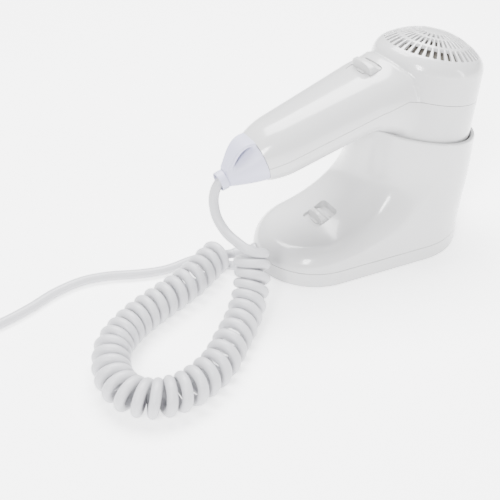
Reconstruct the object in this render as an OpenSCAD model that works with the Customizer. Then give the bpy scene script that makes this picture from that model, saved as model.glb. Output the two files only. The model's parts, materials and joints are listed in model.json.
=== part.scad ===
// Wall-holder hair dryer with curly cord and mains lead
// Frame: wall plate face on z = 0, cup rim centre above the origin, toe and handle toward -X, millimetres.

/* [Holder] */
// lean of the cup and of the handset head away from the toe
cup_tilt = 11.6; // [6:0.2:16]
// height of the cup rim centre above the wall face
rim_h = 89; // [80:1:100]
// outer radius of the cup at the rim
rim_r = 46; // [44:0.5:50]
// heel centre of the base outline
heel_x = -7.6; // [-14:0.2:0]
// heel radius of the base outline
heel_r = 47.7; // [44:0.1:52]
// toe centre of the base outline
toe_x = -77.9; // [-90:0.1:-60]
// toe radius of the base outline
toe_r = 42.4; // [36:0.1:48]
// height of the seam between the wall plate and the shell
plate_h = 11; // [8:0.5:14]
// height of the foot top at the toe
foot_h = 24; // [20:0.5:32]
// rise of the foot top toward the cup
foot_slope = 0.12; // [0:0.01:0.3]
// size of the swoop between foot and cup
swoop = 40; // [10:1:60]
// radius of the soft edge around the foot
foot_edge = 10; // [4:0.5:14]
// wall thickness of the holder shell
hold_wall = 2.6; // [2:0.1:4]
// depth of the cup below the rim
cup_depth = 40; // [30:1:50]

/* [Handset] */
// radius of the head at the cup rim
head_r = 42; // [38:0.5:44]
// radius of the head under the dome edge
head_top_r = 38.3; // [34:0.1:42]
// height of the shell seam on the head above the rim
seam_h = 25; // [15:1:35]
// radius of the slotted dome
dome_r = 55; // [48:1:80]
// length of the barrel below the rim
barrel = 35; // [25:1:40]
// wall thickness of the handset shells
shell = 2.2; // [1.6:0.1:3]
// slope of the handle
handle_slope = 16.8; // [5:0.2:30]
// distance of the cap seam from the origin along -X
cap_x = 125; // [110:1:140]
// height of the cap seam centre
cap_z = 91; // [80:1:105]
// number of outer grille slots
slots = 40; // [24:1:48]

/* [Cord] */
// diameter of the straight cord
cord_d = 6.6; // [6:0.1:8]
// outer diameter of the curly cord
curl_d = 24; // [20:0.2:34]
// mean radius of the stored coil
store_r = 30; // [26:1:40]

/* [Sliders] */
// thumb slider width across
knob_w = 21; // [16:1:26]
// thumb slider length
knob_l = 9; // [6:0.5:12]
// travel of the thumb sliders
knob_travel = 5; // [3:0.5:8]

/* [Hidden] */
$fn = 64;
e = 0.01;

// ---- colours ----
c_white = [0.90, 0.90, 0.90];
c_lilac = [0.86, 0.86, 0.92];
c_cord = [0.84, 0.84, 0.87];
c_dark = [0.16, 0.16, 0.17];
c_metal = [0.72, 0.72, 0.74];
c_mica = [0.72, 0.66, 0.50];
c_brass = [0.80, 0.68, 0.38];
c_green = [0.16, 0.38, 0.22];

// ---- helpers ----
function lerp(a, b, t) = a + (b - a) * t;
function clamp01(t) = min(max(t, 0), 1);
function ease(a, b, x) = let(t = clamp01((x - a) / (b - a))) t * t * (3 - 2 * t);
function unit(v) = v / norm(v);

// closed skin through rings of equal length, each running clockwise as seen along the way, flat ends
module skin(rings) {
  n = len(rings[0]);
  m = len(rings);
  pts = [for (r = rings) each r];
  polyhedron(pts, concat(
    [[for (j = [0:n - 1]) n - 1 - j]],
    [[for (j = [0:n - 1]) (m - 1) * n + j]],
    [for (i = [0:m - 2], j = [0:n - 1]) [i * n + j, i * n + (j + 1) % n, (i + 1) * n + (j + 1) % n]],
    [for (i = [0:m - 2], j = [0:n - 1]) [i * n + j, (i + 1) * n + (j + 1) % n, (i + 1) * n + j]]),
    convexity = 6);
}

// head frame: local z along the leaning cup axis, zero at the rim
module head_frame() {
  translate([0, 0, rim_h]) rotate([0, cup_tilt, 0]) children();
}

// handle frame: local x toward the head, zero at the cap seam
module handle_frame() {
  translate([-cap_x, 0, cap_z]) rotate([0, -handle_slope, 0]) children();
}

// ---- holder outer field (negative inside) ----
function plan_field(x, y, xh, rh, xt, rt) =
  let(h = xh - xt, b = (rh - rt) / h, a = sqrt(1 - b * b), px = abs(y), py = xh - x, k = -b * px + a * py)
  k < 0 ? norm([px, py]) - rh : k > a * h ? norm([px, py - h]) - rt : px * a + py * b - rh;
function round_max(a, b, r) = min(max(a, b), -r) + norm([max(a + r, 0), max(b + r, 0)]);
function soft_min(a, b, k) = let(h = max(k - abs(a - b), 0) / k) min(a, b) - h * h * k / 4;
function holder_field(p, w) =
  let(x = p[0], y = p[1], z = p[2], g = ease(plate_h, 62, z),
    cx = lerp(heel_x, 0, g), cr = lerp(heel_r, 45, g) + (rim_r - 45) * ease(60, 95, z) - w,
    top = z - (foot_h - w + foot_slope * (x + 105)),
    body = soft_min(top, norm([x - cx, y]) - cr, swoop),
    wall = plan_field(x, y, cx, cr, toe_x, toe_r - w - 0.2 * max(z - plate_h, 0)),
    r = 1 + (foot_edge - 1) * (1 - ease(-40, 0, x)))
  round_max(body, wall, r);
function march(s, d, lo, hi, n, w) =
  n == 0 ? s + d * (lo + hi) / 2 :
  let(m = (lo + hi) / 2) holder_field(s + d * m, w) < 0 ? march(s, d, m, hi, n - 1, w) : march(s, d,
    lo, m, n - 1, w);

// rings from the plate seam up to a tilted plane a little under the rim
star = [-38, 0, 13];
function holder_rings(n, m, w, z0, drop) =
  [for (i = [0:m]) [for (j = [0:n - 1])
    let(t = -360 * j / n, c = cos(t), s = sin(t),
      low = march([star[0], 0, z0], [c, s, 0], 5, 110, 16, w),
      q = [-drop * sin(cup_tilt), 0, rim_h - drop * cos(cup_tilt)],
      u = [c * cos(cup_tilt), s, -c * sin(cup_tilt)],
      high = march(q, u, 20, 70, 16, w))
    i == 0 ? low : i == m ? high :
    march(star, unit(lerp(low - star, high - star, i / m)), 2, 130, 16, w)]];

module holder_solid(n, m, w, z0, drop) {
  skin(holder_rings(n, m, w, z0, drop));
}

// base outline
module outline(d) {
  hull() {
    translate([heel_x, 0]) circle(r = heel_r - d);
    translate([toe_x, 0]) circle(r = toe_r - d);
  }
}

// gland places: [angle about the toe centre, height]
gland_z = 8.4;
lead_a = 165;
curl_a = 183;
module at_gland(a, r) {
  translate([toe_x, 0, gland_z]) rotate([0, 0, a]) translate([r, 0, 0]) rotate([0, 90, 0]) children();
}
module gland_holes(d) {
  for (a = [lead_a, curl_a]) at_gland(a, toe_r - 12) cylinder(d = d, h = 20);
}

// screw posts inside the holder
posts = [[-100, 0], [-52, 26], [-52, -26]];
wall_holes = [[-62, 0], [28, 0]];

module wall_plate() {
  color(c_white) difference() {
    union() {
      linear_extrude(plate_h - 0.3) outline(0);
    }
    translate([0, 0, 3]) linear_extrude(plate_h) outline(2.8);
    for (p = wall_holes) {
      translate([p[0], p[1], -e]) cylinder(d = 4.6, h = 5);
      translate([p[0], p[1], 1.6]) cylinder(d1 = 4.6, d2 = 9, h = 1.6);
    }
    for (p = posts) {
      translate([p[0], p[1], -e]) cylinder(d = 3.4, h = 5);
      translate([p[0], p[1], -e]) cylinder(d = 6.4, h = 1.7);
    }
    gland_holes(8.6);
  }
}

module holder_shell() {
  color(c_white) difference() {
    union() {
      difference() {
        holder_solid(60, 20, 0, plate_h, 3);
        difference() {
          holder_solid(40, 12, hold_wall, plate_h - 0.5, 8);
          head_frame() translate([0, 0, -cup_depth - 2.5]) cylinder(r1 = 38.2, r2 = 47, h = cup_depth + 12);
          for (p = posts) translate([p[0], p[1], plate_h]) cylinder(d = 7, h = 60);
          holder_slider_frame() translate([0, 0, -3.1]) pocket(22, 26, 20);
        }
      }
      head_frame() rotate_extrude() polygon([
        [40, -6], [rim_r + 0.2, -6], [rim_r + 0.2, -1.8], [rim_r - 0.4, -0.5], [rim_r - 1.2, 0], [40, 0]]);
    }
    head_frame() rotate_extrude() polygon([
      [0, -cup_depth], [head_r + 0.8 - taper * cup_depth, -cup_depth], [head_r + 0.7, -1.6],
      [rim_r - 1.9, 0.1], [rim_r - 1.9, 40], [0, 40]]);
    handle_frame() handle_loft(1.2, 60, 118);
    gland_holes(8.6);
    for (p = posts) translate([p[0], p[1], plate_h - 1]) cylinder(d = 2.5, h = 10);
    slider_pocket_holder();
  }
}

// ring that lines the floor of the cup
module cup_floor() {
  color(c_dark) head_frame() translate([0, 0, -cup_depth]) difference() {
    cylinder(r = 35.9, h = 1.6);
    translate([0, 0, -1]) cylinder(r = 26, h = 4);
  }
}

module rest_pad() {
  color(c_dark) head_frame() translate([0, 0, -cup_depth + 1.6]) rotate_extrude()
    translate([31.5, 0]) square([3.6, 3.3]);
}

// ---- thumb sliders ----
// local frame of a slider: z out of the surface, x along the travel
module holder_slider_frame() {
  translate([-72, 0, 28.6]) rotate([0, -atan(0.20), 0]) children();
}
module handset_slider_frame() {
  handle_frame() translate([90, 0, 19.5]) children();
}
module pocket(l, w, h) {
  linear_extrude(h) hull() for (a = [-1, 1], b = [-1, 1])
    translate([a * (l / 2 - 3), b * (w / 2 - 3)]) circle(r = 3);
}
module slider_pocket_holder() {
  holder_slider_frame() translate([0, 0, -1]) pocket(19, 20, 20);
  holder_slider_frame() translate([0, 0, -12]) translate([-5.2, -2, 0]) cube([10.4, 4, 14]);
}
module slider_knob(h, w, r) {
  // thumb piece: upright face toward the toe, ramp toward the head, arched across
  intersection() {
    rotate([90, 0, 0]) translate([0, 0, -w / 2]) linear_extrude(w) polygon([
      [-knob_l / 2, 0], [-knob_l / 2, h - 0.6], [-knob_l / 2 + 0.7, h], [-knob_l / 2 + 2, h],
        [knob_l / 2, 1.3], [knob_l / 2, 0]]);
    translate([-knob_l, 0, h - r]) rotate([0, 90, 0]) cylinder(r = r, h = 2 * knob_l);
  }
  translate([-2.5, -1.6, -7]) cube([5, 3.2, 7 + e]);
}

module holder_knob() {
  color(c_white) holder_slider_frame() translate([0, 0, -0.7]) slider_knob(6.9, knob_w - 2.4, 16.5);
}

module holder_switch() {
  color(c_dark) holder_slider_frame() translate([0, 0, -12.2]) difference() {
    translate([-10, -6, 0]) cube([20, 12, 9]);
    translate([-6, -2, 4]) cube([12, 4, 6]);
  }
}

module terminal_block() {
  color(c_white) translate([-52, -9, 3]) difference() {
    cube([16, 18, 10]);
    for (y = [4.5, 13.5], x = [4, 12]) translate([x, y, 3]) cylinder(d = 3.6, h = 8);
  }
}

// grommet in the toe wall with a tapered strain relief outside it
module bush(a, l) {
  at_gland(a, toe_r - 6) rotate_extrude() polygon([
    [cord_d / 2, 0], [5, 0], [5, 1.2], [4.25, 1.2], [4.25, 6.05], [5.6, 6.05], [5.4, 7.6],
    [4.8, 8], [3.9, 6 + l], [cord_d / 2, 6 + l]]);
}
module cord_bushes() {
  color(c_cord) {
    bush(lead_a, 16);
    bush(curl_a, 12);
  }
}

module shell_screws() {
  color(c_metal) for (p = posts) translate([p[0], p[1], 0.1]) {
    cylinder(d = 5.8, h = 1.5);
    cylinder(d = 2.5, h = 16);
  }
}

// ---- handset ----
dome_c = 7.9;      // centre of the dome sphere above the rim
edge_r = 12;       // radius of the soft edge between side and dome
grille_r = 34.4;   // radius of the grille panel
function dome_z(r, k) = dome_c + sqrt((dome_r - k) * (dome_r - k) - r * r);

end_taper = 3;     // how far the handle draws in at the cap seam
taper = 0.17;      // narrowing of the barrel and of the cup bore

// head profile, k = inset from the outer skin
function head_profile(k, low) =
  let(q = head_top_r - edge_r, cz = dome_c + sqrt(pow(dome_r - edge_r, 2) - q * q),
    a0 = atan2(cz - dome_c, q))
  concat([[0, low], [head_r + taper * low - k, low], [head_r - k, 0]],
    [for (i = [0:8]) let(a = a0 * i / 8) [q + (edge_r - k) * cos(a), cz + (edge_r - k) * sin(a)]],
    [for (i = [1:12]) let(a = lerp(a0, 90, i / 12)) [(dome_r - k) * cos(a),
      dome_c + (dome_r - k) * sin(a)]]);

module head_solid(k, low) {
  head_frame() rotate_extrude($fn = 96) polygon(head_profile(k, low));
}

// handle sections in the handle frame, k = growth over the nominal skin
function handle_ring(s, k) =
  let(t = clamp01((s - 84) / 31), v = k - end_taper * pow(max(0, 1 - s / 18), 2),
    a = 20.9 + 0.083 * s + 3 * t * t + v, bt = 18.9 + 0.009 * s + t * t + v,
    bb = 18.9 + 0.009 * s + 3 * t * t + v)
  [for (j = [0:39]) let(c = cos(9 * j), d = -sin(9 * j)) [s, a * c, (d > 0 ? bt : bb) * d]];
module handle_loft(k, s0, s1) {
  skin([for (s = [0:12]) handle_ring(lerp(s0, s1, pow(s / 12, 1.5)), k)]);
}

// side shape of the lower shell: below the head seam and below the handle seam
module lower_side(g) {
  kx = -28;
  kz = 119.9;
  translate([0, 60, 0]) rotate([90, 0, 0]) linear_extrude(120) polygon([
    [-150, kz - g + (-150 - kx) * tan(handle_slope)],
    [kx, kz - g],
    [60, kz - g - (60 - kx) * tan(cup_tilt)],
    [60, 20], [-150, 20]]);
}

module handset_solid() {
  head_solid(0, -barrel);
  handle_frame() handle_loft(0, 0, 128);
}
module handset_void() {
  head_solid(shell, -barrel - 1);
  handle_frame() handle_loft(-shell, -1, 124);
}

// screw bosses along the handle
module bosses(d, z0, z1) {
  handle_frame() for (s = [24, 68]) translate([s, 0, z0]) cylinder(d = d, h = z1 - z0);
}

module handset_lower() {
  color(c_white) difference() {
    union() {
      difference() {
        intersection() {
          handset_solid();
          lower_side(0.05);
        }
        handset_void();
      }
      bosses(8, -18.4, -8);
    }
    bosses(5.6, -25, -15.6);
    bosses(3, -16, -7);
  }
}

module handset_upper() {
  color(c_white) difference() {
    union() {
      difference() {
        handset_solid();
        handset_void();
        lower_side(-0.05);
      }
      bosses(7, -7.9, 18.4);
    }
    bosses(2.6, -9, -2);
    head_frame() translate([0, 0, 45]) cylinder(r = grille_r + 0.05, h = 30);
    handset_slider_frame() translate([0, 0, -1.4]) pocket(17, 22.6, 12);
    handset_slider_frame() translate([-5.2, -2, -12]) cube([10.4, 4, 14]);
  }
}

module slot_row(r0, r1, n, w) {
  for (i = [0:n - 1]) rotate([0, 0, 360 * i / n]) translate([(r0 + r1) / 2, 0, 30]) linear_extrude(50)
    square([r1 - r0, w], center = true);
}
module intake_grille() {
  color(c_white) head_frame() difference() {
    rotate_extrude($fn = 96) intersection() {
      difference() {
        polygon(head_profile(0, -barrel));
        polygon(head_profile(shell, -barrel - 1));
      }
      translate([0, 40]) square([grille_r, 40]);
    }
    slot_row(24.8, 32.4, slots, 2.6);
    slot_row(15.9, 22.9, slots, 1.5);
    slot_row(9, 14, 24, 1.3);
  }
}

module lint_screen() {
  color(c_dark) head_frame() rotate_extrude($fn = 96) intersection() {
    difference() {
      polygon(head_profile(shell + 1.2, 0));
      polygon(head_profile(shell + 1.8, -1));
    }
    translate([0, 40]) square([33, 40]);
  }
}

// ---- end cap with hanging loop, in the handle frame (x negative = outward) ----
function cap_ring(u) =
  let(t = clamp01(u / 24), a = lerp(20.9 - end_taper, 6.1, pow(t, 1.15)),
    b = lerp(18.9 - end_taper, 6.1, pow(t, 0.95)), dz = -2.6 * t - 0.6 * sin(180 * t))
  [for (j = [0:39]) [-u, a * cos(9 * j), dz + b * sin(9 * j)]];
module end_cap() {
  color(c_lilac) handle_frame() difference() {
    union() {
      skin([for (i = [0:10]) cap_ring(24 * i / 10)]);
      cap_strap();
    }
    translate([1, 0, 0]) skin([for (i = [0:6]) [for (p = cap_ring(20 * i / 6)) [p[0], p[1] * 0.86,
      -2 + (p[2] + 2) * 0.84]]]);
    translate([-30, 0, -2.6]) rotate([0, 90, 0]) cylinder(d = cord_d + 0.1, h = 30);
    translate([0, -30, -30]) cube([10, 60, 60]);
  }
}
// strap: a flat band arching over the cap from the seam to the collar
function strap_pt(t) = [-lerp(0, 22, t), 0, lerp(14.4, 3, t) + 6.4 * sin(180 * t) * (1 - 0.25 * t)];
module cap_strap() {
  skin([for (i = [0:12])
    let(t = i / 12, p = strap_pt(t), q = unit(strap_pt(min(t + 0.02, 1.02)) - strap_pt(t - 0.02)),
      n = [-q[2], 0, q[0]],
      w = lerp(8.5, 5.2, t), h = 1.7)
    [for (j = [0:15]) let(c = cos(22.5 * j), s = sin(22.5 * j))
      p + [0, w * sign(c) * pow(abs(c), 0.7), 0] + n * h * sign(s) * pow(abs(s), 0.7) * -1]]);
}

module collar_frame() {
  handle_frame() translate([-24, 0, -2.6]) rotate([0, -90, 0]) children();
}
module cord_collar() {
  color(c_lilac) collar_frame() rotate_extrude() polygon([
    [3.4, 0.05], [6.2, 0.05], [6.6, 0.8], [6.6, 5], [6.4, 5.4], [5.9, 5.4], [5.7, 5], [5.6, 1.8], [3.4, 1.2]]);
}

module cord_clamp() {
  color(c_dark) handle_frame() translate([4, 0, -2.6]) difference() {
    translate([0, -10, -4]) cube([8, 20, 9]);
    translate([-1, 0, 0]) rotate([0, 90, 0]) cylinder(d = 5.2, h = 10);
  }
}

module handset_knob() {
  color(c_white) handset_slider_frame() translate([2.5, 0, -1.2]) slider_knob(6.9, knob_w, 24);
}

module handset_switch() {
  color(c_dark) handset_slider_frame() translate([0, 0, -13.2]) difference() {
    translate([-11, -7, 0]) cube([22, 14, 10]);
    translate([-6.5, -2, 3.6]) cube([14, 4, 8]);
  }
}

module rectifier_board() {
  color(c_green) handle_frame() translate([30, -10, -6]) cube([34, 20, 1.6]);
}
module diodes() {
  color(c_dark) handle_frame() for (x = [35, 42, 49, 56]) translate([x, -4, -2.6]) rotate([-90, 0,
    0]) cylinder(d = 3.4, h = 8);
}
module handset_wires() {
  color(c_dark) handle_frame() for (y = [-6, 6]) translate([12.2, y, -2.6]) rotate([0, 90,
    0]) cylinder(d = 2.2, h = 17.6);
}

module handset_screws() {
  color(c_metal) {
    bosses(5.2, -17.4, -15.6);
    bosses(2.5, -15.7, -3);
  }
}

// ---- blower and heater, in the head frame ----
module motor_holder() {
  color(c_dark) head_frame() difference() {
    union() {
      difference() {
        translate([0, 0, 8]) cylinder(r = 32, h = 38);
        translate([0, 0, 7]) cylinder(r = 30.2, h = 40);
      }
      translate([0, 0, 8]) cylinder(r = 15.4, h = 24);
      for (a = [0:60:300]) rotate([0, 0, a]) translate([14.6, -0.8, 9.5]) cube([16.5, 1.6, 20]);
    }
    translate([0, 0, 10]) cylinder(r = 13.85, h = 30);
    translate([0, 0, 7]) cylinder(r = 4, h = 6);
  }
}
module motor() {
  color(c_metal) head_frame() difference() {
    union() {
      translate([0, 0, 10]) cylinder(r = 13.8, h = 24);
      translate([0, 0, 34]) cylinder(r = 4, h = 1.5);
    }
    translate([0, 0, 12]) cylinder(r = 1.2, h = 30);
  }
}
module motor_shaft() {
  color(c_metal) head_frame() translate([0, 0, 14]) cylinder(r = 1.16, h = 33);
}
module fan_impeller() {
  color(c_white) head_frame() difference() {
    union() {
      translate([0, 0, 37]) cylinder(r = 9, h = 8);
      for (a = [0:40:320]) rotate([0, 0, a]) translate([8.4, 0, 41]) rotate([38, 0, 0])
        translate([0, -0.7, -5]) cube([20.6, 1.4, 10]);
    }
    translate([0, 0, 36]) cylinder(r = 1.16, h = 20);
  }
}
module mica_sleeve() {
  color(c_mica) head_frame() translate([0, 0, -27]) difference() {
    cylinder(r = 32, h = 35);
    translate([0, 0, -1]) cylinder(r = 31.4, h = 40);
  }
}
module mica_cross() {
  color(c_mica) head_frame() difference() {
    for (a = [0, 90]) rotate([0, 0, a]) translate([-29.5, -0.5, -26]) cube([59, 1, 33]);
    wire_rings(3.4);
  }
}
module wire_rings(d) {
  for (z = [-22:7:-1]) translate([0, 0, z]) rotate_extrude() translate([25, 0]) circle(d = d, $fn = 16);
}
module heater_coils() {
  color(c_metal) head_frame() wire_rings(3.2);
}
module thermostat() {
  color(c_brass) head_frame() translate([3, 0.55, -14]) cube([11, 6, 8]);
}
module thermal_fuse() {
  color(c_metal) head_frame() translate([-16, -2.55, -18]) cylinder(d = 4, h = 12);
}
module outlet_grille() {
  color(c_dark) head_frame() translate([0, 0, -barrel + 1]) difference() {
    cylinder(r = 33.9, h = 3);
    for (r = [5:7:26]) translate([0, 0, -1]) difference() {
      cylinder(r = r + 5, h = 6);
      cylinder(r = r, h = 6);
      for (a = [0:45:135]) rotate([0, 0, a]) translate([-40, -0.9, 0]) cube([80, 1.8, 6]);
    }
  }
}

// ---- soft parts ----
function bez(a, b, c, d, t) = a * pow(1 - t, 3) + b * 3 * t * pow(1 - t,
  2) + c * 3 * t * t * (1 - t) + d * pow(t, 3);
// point on a smooth line through route points
function route(p, u) =
  let(n = len(p) - 1, i = min(floor(u), n - 1), t = u - i, a = p[i], b = p[i + 1],
    ta = (i > 0 ? p[i + 1] - p[i - 1] : p[1] - p[0]) / 6,
    tb = (i < n - 1 ? p[i + 2] - p[i] : p[n] - p[n - 1]) / 6)
  bez(a, a + ta, b - tb, b, t);
function tube_ring(p, u, r, n) =
  let(c = route(p, u), l = len(p) - 1, h = 0.02,
    q = unit(route(p, min(u + h, l)) - route(p, max(u - h, 0))),
    s = unit(cross(q, [0, 0.001, 1])), v = cross(s, q))
  [for (j = [0:n - 1]) c + r * (s * cos(360 * j / n) + v * sin(360 * j / n))];
module tube(p, r, n, m) {
  skin([for (i = [0:m]) tube_ring(p, (len(p) - 1) * i / m, r, n)]);
}

// route points, millimetres
hang_pts = [[-120.4, 0, 89.7], [-133.8, 0, 85.6], [-147.2, 0, 81.6], [-151, 0, 80], [-154.1, 0, 75.8],
  [-156.2, -1, 70.7], [-157.2, -3, 65.5], [-157.3, -6.5, 59.2], [-156.1, -11, 54], [-154.6, -17, 50.6],
  [-152.8, -24, 49], [-150.5, -31, 47.4], [-145.8, -35.6, 45.3], [-139.3, -35.4, 42.8]];
curl_pts = [[-145.4, -31.5, 36], [-147, -35.6, 30], [-150, -40, 24], [-154.6, -45.5, 18], [-161.5,
  -52.5, 14],
  [-170, -60.7, 12.1], [-180, -70, 12.1], [-197, -85, 12.1], [-213.3, -92.8, 12.1], [-226.4, -95.5, 12.1],
  [-241.5, -93, 12.1], [-253, -82, 12.1], [-255.5, -64, 12.1], [-248, -43.6, 12.1], [-236.6, -32, 12.1],
  [-222, -23, 12.1], [-207, -16.3, 12.1], [-191.5, -10.3, 12.1], [-174.5, -2.4, 12.1], [-163, 4.8, 12.1],
  [-154, 10, 12.1], [-146, 14.4, 12.1]];
tail_pts = [[-144.8, 11.5, 10.9], [-141.5, 7.6, 10.6], [-137, 0.8, 9.3], [-132.2, -2.8, 8.4], [-126,
  -2.5, 8.4],
  [-114.3, -1.9, 8.4]];
lead_pts = [[-113.1, 9.4, 8.4], [-118.9, 11, 8.4], [-126.6, 13, 8.4], [-134.4, 15.1, 8.4], [-141, 20.5, 6],
  [-148, 26.2, 3.9], [-156, 28, 3.4], [-165, 28, 3.4], [-175, 26.8, 3.4], [-185, 27.2, 3.4],
  [-200, 31.3, 3.4], [-220, 39.3, 3.4], [-238, 42.4, 3.4], [-258, 39, 3.4], [-278, 31, 3.4],
  [-299, 25, 3.4], [-320, 22.6, 3.4], [-346, 22.6, 3.4]];
coil_at = [-366, -14];
plug_z = 13;

module hang_cord() {
  color(c_cord) tube(hang_pts, cord_d / 2, 10, 18);
}
module curly_cord() {
  color(c_cord) tube(curl_pts, curl_d / 2, 12, 28);
}
module curl_tail() {
  color(c_cord) tube(tail_pts, cord_d / 2, 10, 6);
}
module mains_lead() {
  color(c_cord) tube(lead_pts, cord_d / 2, 10, 27);
}
module stored_coil() {
  color(c_cord) translate([coil_at[0], coil_at[1], 0]) rotate_extrude() translate([store_r,
    6.7]) square([19.6, 13.2], center = true);
}
module cord_tie() {
  color(c_dark) translate([coil_at[0], coil_at[1] - store_r, 6.75]) rotate([0, 90, 0]) translate([0, 0,
    -4]) difference() {
    linear_extrude(8) square([13.4, 24.6], center = true);
    translate([0, 0, -1]) linear_extrude(10) square([13.3, 19.9], center = true);
  }
}
module plug_frame() {
  translate([-384, coil_at[1] + 36.6, plug_z]) rotate([0, -90, 0]) children();
}
module plug_relief() {
  color(c_cord) plug_frame() difference() {
    cylinder(r1 = 3.9, r2 = 6, h = 28);
    for (z = [4:5:24]) translate([0, 0, z]) rotate_extrude() translate([4.1 + 0.07 * z, 0]) square([3,
      1.6]);
  }
}
module plug_body() {
  color(c_cord) plug_frame() translate([0, 0, 28]) intersection() {
    rotate_extrude() polygon([[0, 0], [9, 0], [13, 5], [16.6, 16], [17.6, 20], [17.6, 33], [17, 34],
      [0, 34]]);
    translate([-12.9, -20, -1]) cube([25.8, 40, 40]);
  }
}
module plug_pins() {
  color(c_metal) plug_frame() for (y = [-9.5, 9.5]) translate([0, y, 62]) {
    cylinder(d = 4.8, h = 17.6);
    translate([0, 0, 17.6]) cylinder(d1 = 4.8, d2 = 3, h = 1.4);
  }
}

// ---- the assembly ----
wall_plate();
holder_shell();
cup_floor();
rest_pad();
holder_knob();
holder_switch();
terminal_block();
cord_bushes();
shell_screws();
handset_lower();
handset_upper();
intake_grille();
lint_screen();
end_cap();
cord_collar();
cord_clamp();
handset_knob();
handset_switch();
rectifier_board();
diodes();
handset_wires();
handset_screws();
motor_holder();
motor();
motor_shaft();
fan_impeller();
mica_sleeve();
mica_cross();
heater_coils();
thermostat();
thermal_fuse();
outlet_grille();
hang_cord();
curly_cord();
curl_tail();
mains_lead();
stored_coil();
cord_tie();
plug_relief();
plug_body();
plug_pins();
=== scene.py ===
import json
import math
import bpy
import numpy as np
from mathutils import Vector, Matrix


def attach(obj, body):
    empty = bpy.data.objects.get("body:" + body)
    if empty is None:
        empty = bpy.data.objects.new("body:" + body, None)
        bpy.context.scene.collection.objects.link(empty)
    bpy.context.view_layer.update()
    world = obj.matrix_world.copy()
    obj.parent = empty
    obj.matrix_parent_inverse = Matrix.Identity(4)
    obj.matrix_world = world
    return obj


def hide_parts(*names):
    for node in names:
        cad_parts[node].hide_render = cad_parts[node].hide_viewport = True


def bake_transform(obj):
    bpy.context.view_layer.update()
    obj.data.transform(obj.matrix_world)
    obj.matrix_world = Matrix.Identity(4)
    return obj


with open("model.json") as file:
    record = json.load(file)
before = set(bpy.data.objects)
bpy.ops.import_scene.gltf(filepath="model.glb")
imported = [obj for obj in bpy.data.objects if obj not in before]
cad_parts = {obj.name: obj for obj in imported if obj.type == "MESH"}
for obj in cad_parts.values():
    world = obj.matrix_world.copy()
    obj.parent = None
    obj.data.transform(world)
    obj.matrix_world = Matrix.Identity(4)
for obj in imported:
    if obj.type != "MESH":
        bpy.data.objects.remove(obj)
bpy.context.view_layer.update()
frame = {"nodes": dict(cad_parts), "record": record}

MM = 0.001

# ---------------------------------------------------------------- camera
CAM_AT = (-0.36147, -0.42152, 0.36005)
CAM_LOOK = (-0.11613, 0.02344, 0.0)
cam_data = bpy.data.cameras.new("camera")
cam_data.lens = 61.44
cam_data.sensor_width = 36.0
cam_data.clip_start = 0.01
cam = bpy.data.objects.new("camera", cam_data)
bpy.context.scene.collection.objects.link(cam)
cam.location = CAM_AT
cam.rotation_euler = (Vector(CAM_LOOK) - Vector(CAM_AT)).to_track_quat("-Z", "Y").to_euler()
bpy.context.scene.camera = cam


# ---------------------------------------------------------------- mesh helpers (all in millimetres)
def mesh_object(name, points, faces, smooth=True):
    me = bpy.data.meshes.new(name)
    me.from_pydata((np.asarray(points, float) * MM).tolist(), [], [list(map(int, f)) for f in faces])
    me.validate()
    me.update()
    if smooth:
        me.shade_smooth()
    ob = bpy.data.objects.new(name, me)
    bpy.context.scene.collection.objects.link(ob)
    return ob


def loft(rings):
    """Closed skin through rings of equal length, as (points, faces).

    It faces outward where the rings turn right-handed along the way."""
    rings = np.asarray(rings, float)
    m, n = rings.shape[:2]
    faces = []
    for i in range(m - 1):
        for j in range(n):
            k = (j + 1) % n
            faces.append((i * n + j, i * n + k, (i + 1) * n + k, (i + 1) * n + j))
    points = np.vstack([rings.reshape(-1, 3), rings[0].mean(0), rings[-1].mean(0)])
    a, b = m * n, m * n + 1
    for j in range(n):
        k = (j + 1) % n
        faces.append((a, k, j))
        faces.append((b, (m - 1) * n + j, (m - 1) * n + k))
    return points, faces


def turned(profile, n=192):
    """Solid of revolution about z from (radius, z) pairs, which start and end on the axis, going up."""
    t = np.linspace(0, 2 * math.pi, n, endpoint=False)
    inner = [p for p in profile if p[0] > 1e-6]
    return loft([np.stack([r * np.cos(t), r * np.sin(t), np.full(n, z)], -1) for r, z in inner])


def moved(points, matrix):
    """The points carried through a matrix."""
    p = np.asarray(points, float)
    m = np.array(matrix)
    return p @ m[:3, :3].T + m[:3, 3]


def turn_y(degrees, at=(0, 0, 0)):
    """Frame at a point, turned about y as OpenSCAD's rotate([0, degrees, 0]) does."""
    return Matrix.Translation(at) @ Matrix.Rotation(math.radians(degrees), 4, "Y")


def boolean(ob, cutter, operation, keep=False):
    """Applies one boolean to ob, and deletes the cutter unless it is kept."""
    mod = ob.modifiers.new("cut", "BOOLEAN")
    mod.operation = operation
    mod.solver = "MANIFOLD"
    mod.object = cutter
    deps = bpy.context.evaluated_depsgraph_get()
    me = bpy.data.meshes.new_from_object(ob.evaluated_get(deps))
    ob.modifiers.clear()
    old = ob.data
    ob.data = me
    bpy.data.meshes.remove(old)
    if not keep:
        bpy.data.objects.remove(cutter)
    return ob


def gradient(field, p, h=0.02):
    """The field's slope at the points, by central differences."""
    g = np.empty_like(p)
    for i in range(3):
        d = np.zeros(3)
        d[i] = h
        g[:, i] = (field(p + d) - field(p - d)) / (2 * h)
    return g


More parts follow.
